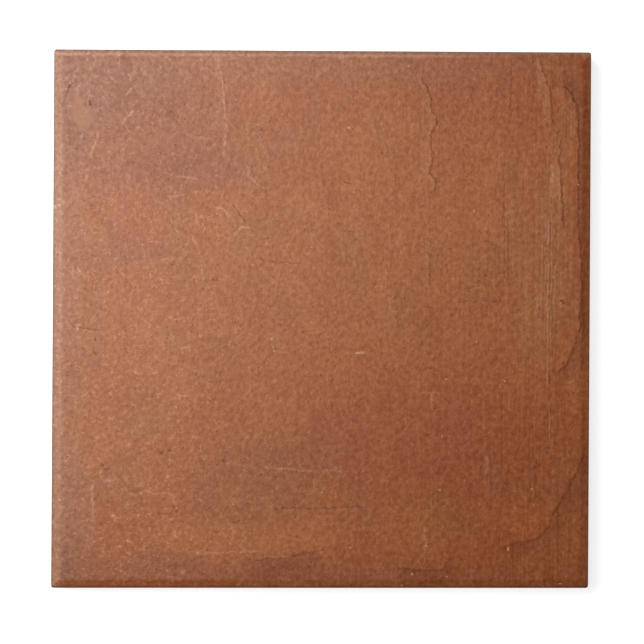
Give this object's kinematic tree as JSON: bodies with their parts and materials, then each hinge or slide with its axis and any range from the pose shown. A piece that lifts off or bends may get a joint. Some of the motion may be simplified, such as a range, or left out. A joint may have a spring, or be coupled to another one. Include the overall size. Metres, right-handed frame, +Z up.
{
  "type": "terracotta floor tile",
  "caption": "Square slab of fired clay with a flat walking face, an eased rim all round and straight keying grooves across its back.",
  "frame": {"origin": "middle of the tile, on the plane that the lands of its back rest on", "axes": "+Z up out of the walking face, +Y along the extruded ribbon and its grooves towards the square cut, +X across them"},
  "size_m": [0.3, 0.3008, 0.02],
  "materials": {
    "terracotta": "fired clay, satin and lightly worn on the walking face, matt on the sides and back"
  },
  "bodies": {
    "root": {"tile": "terracotta"}
  },
  "joints": []
}
